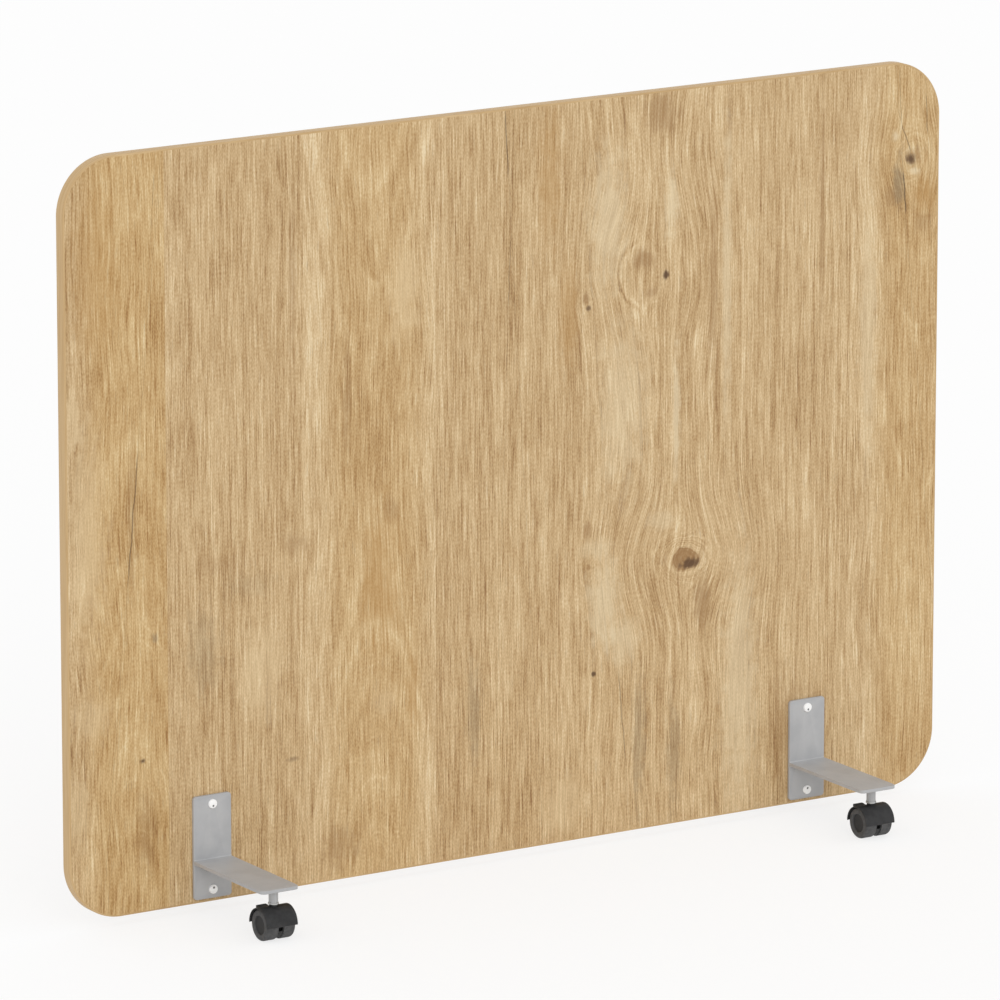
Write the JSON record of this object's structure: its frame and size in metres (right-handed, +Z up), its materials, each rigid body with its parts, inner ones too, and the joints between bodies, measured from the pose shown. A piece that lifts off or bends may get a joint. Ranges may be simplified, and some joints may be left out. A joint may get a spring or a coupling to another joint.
{
  "type": "rolling partition",
  "caption": "Rounded wood-faced panel standing on steel angle brackets with braked twin-wheel castors, used as a movable room divider or screen.",
  "frame": {"origin": "on the floor, under the middle of the panel, at the centre of the footprint", "axes": "+X along the panel, to the right seen from the front; -Y is the front, so +Y runs through the panel to the rear; +Z up"},
  "size_m": [1.2, 0.3368, 0.9],
  "materials": {
    "panel_face": "matt oak laminate with upright grain",
    "edge_band": "plain oak-coloured band",
    "bracket": "light grey powder coat",
    "bush": "light grey powder coat",
    "fastener": "plain zinc plate",
    "cover_cap": "white, satin",
    "stem": "bright zinc plate",
    "castor_housing": "black, satin moulded nylon",
    "wheel": "dark grey moulded nylon",
    "brake_lever": "black moulded nylon"
  },
  "bodies": {
    "partition": {"panel_board": "panel_face", "panel_edge_band": "edge_band", "bracket_plate_front_left": "bracket", "bracket_arm_front_left": "bracket", "bracket_bush_front_left": "bush", "castor_stem_front_left": "stem", "castor_ring_front_left": "fastener", "cap_front_left_lower": "cover_cap", "cap_front_left_upper": "cover_cap", "bracket_plate_front_right": "bracket", "bracket_arm_front_right": "bracket", "bracket_bush_front_right": "bush", "castor_stem_front_right": "stem", "castor_ring_front_right": "fastener", "cap_front_right_lower": "cover_cap", "cap_front_right_upper": "cover_cap", "bracket_plate_rear_left": "bracket", "bracket_arm_rear_left": "bracket", "bracket_bush_rear_left": "bush", "castor_stem_rear_left": "stem", "castor_ring_rear_left": "fastener", "cap_rear_left_lower": "cover_cap", "cap_rear_left_upper": "cover_cap", "bracket_plate_rear_right": "bracket", "bracket_arm_rear_right": "bracket", "bracket_bush_rear_right": "bush", "castor_stem_rear_right": "stem", "castor_ring_rear_right": "fastener", "cap_rear_right_lower": "cover_cap", "cap_rear_right_upper": "cover_cap", "bolt_left_lower": "fastener", "sleeve_nut_left_lower": "fastener", "bolt_left_upper": "fastener", "sleeve_nut_left_upper": "fastener", "bolt_right_lower": "fastener", "sleeve_nut_right_lower": "fastener", "bolt_right_upper": "fastener", "sleeve_nut_right_upper": "fastener"},
    "castor_front_left": {"castor_housing_front_left": "castor_housing", "castor_axle_front_left": "fastener", "brake_pin_left": "fastener"},
    "wheel_front_left_a": {"castor_wheel_front_left_a": "wheel"},
    "wheel_front_left_b": {"castor_wheel_front_left_b": "wheel"},
    "castor_front_right": {"castor_housing_front_right": "castor_housing", "castor_axle_front_right": "fastener", "brake_pin_right": "fastener"},
    "wheel_front_right_a": {"castor_wheel_front_right_a": "wheel"},
    "wheel_front_right_b": {"castor_wheel_front_right_b": "wheel"},
    "castor_rear_left": {"castor_housing_rear_left": "castor_housing", "castor_axle_rear_left": "fastener"},
    "wheel_rear_left_a": {"castor_wheel_rear_left_a": "wheel"},
    "wheel_rear_left_b": {"castor_wheel_rear_left_b": "wheel"},
    "castor_rear_right": {"castor_housing_rear_right": "castor_housing", "castor_axle_rear_right": "fastener"},
    "wheel_rear_right_a": {"castor_wheel_rear_right_a": "wheel"},
    "wheel_rear_right_b": {"castor_wheel_rear_right_b": "wheel"},
    "brake_left": {"brake_lever_left": "brake_lever"},
    "brake_right": {"brake_lever_right": "brake_lever"}
  },
  "joints": [
    {"name": "swivel_front_left", "type": "hinge", "parent": "partition", "child": "castor_front_left", "pos_m": [-0.4135, -0.148, 0.042], "axis": [0, 0, 1], "continuous": true},
    {"name": "spin_front_left_a", "type": "hinge", "parent": "castor_front_left", "child": "wheel_front_left_a", "pos_m": [-0.4249, -0.148, 0.0185], "axis": [1, 0, 0], "continuous": true},
    {"name": "spin_front_left_b", "type": "hinge", "parent": "castor_front_left", "child": "wheel_front_left_b", "pos_m": [-0.4021, -0.148, 0.0185], "axis": [1, 0, 0], "continuous": true},
    {"name": "swivel_front_right", "type": "hinge", "parent": "partition", "child": "castor_front_right", "pos_m": [0.4135, -0.148, 0.042], "axis": [0, 0, 1], "continuous": true},
    {"name": "spin_front_right_a", "type": "hinge", "parent": "castor_front_right", "child": "wheel_front_right_a", "pos_m": [0.4021, -0.148, 0.0185], "axis": [1, 0, 0], "continuous": true},
    {"name": "spin_front_right_b", "type": "hinge", "parent": "castor_front_right", "child": "wheel_front_right_b", "pos_m": [0.4249, -0.148, 0.0185], "axis": [1, 0, 0], "continuous": true},
    {"name": "swivel_rear_left", "type": "hinge", "parent": "partition", "child": "castor_rear_left", "pos_m": [-0.4135, 0.148, 0.042], "axis": [0, 0, 1], "continuous": true},
    {"name": "spin_rear_left_a", "type": "hinge", "parent": "castor_rear_left", "child": "wheel_rear_left_a", "pos_m": [-0.4021, 0.148, 0.0185], "axis": [1, 0, 0], "continuous": true},
    {"name": "spin_rear_left_b", "type": "hinge", "parent": "castor_rear_left", "child": "wheel_rear_left_b", "pos_m": [-0.4249, 0.148, 0.0185], "axis": [1, 0, 0], "continuous": true},
    {"name": "swivel_rear_right", "type": "hinge", "parent": "partition", "child": "castor_rear_right", "pos_m": [0.4135, 0.148, 0.042], "axis": [0, 0, 1], "continuous": true},
    {"name": "spin_rear_right_a", "type": "hinge", "parent": "castor_rear_right", "child": "wheel_rear_right_a", "pos_m": [0.4249, 0.148, 0.0185], "axis": [1, 0, 0], "continuous": true},
    {"name": "spin_rear_right_b", "type": "hinge", "parent": "castor_rear_right", "child": "wheel_rear_right_b", "pos_m": [0.4021, 0.148, 0.0185], "axis": [1, 0, 0], "continuous": true},
    {"name": "brake_press_left", "type": "hinge", "parent": "castor_front_left", "child": "brake_left", "pos_m": [-0.4135, -0.139, 0.0275], "axis": [1, 0, 0], "range_deg": [-8, 0]},
    {"name": "brake_press_right", "type": "hinge", "parent": "castor_front_right", "child": "brake_right", "pos_m": [0.4135, -0.139, 0.0275], "axis": [1, 0, 0], "range_deg": [-8, 0]}
  ]
}
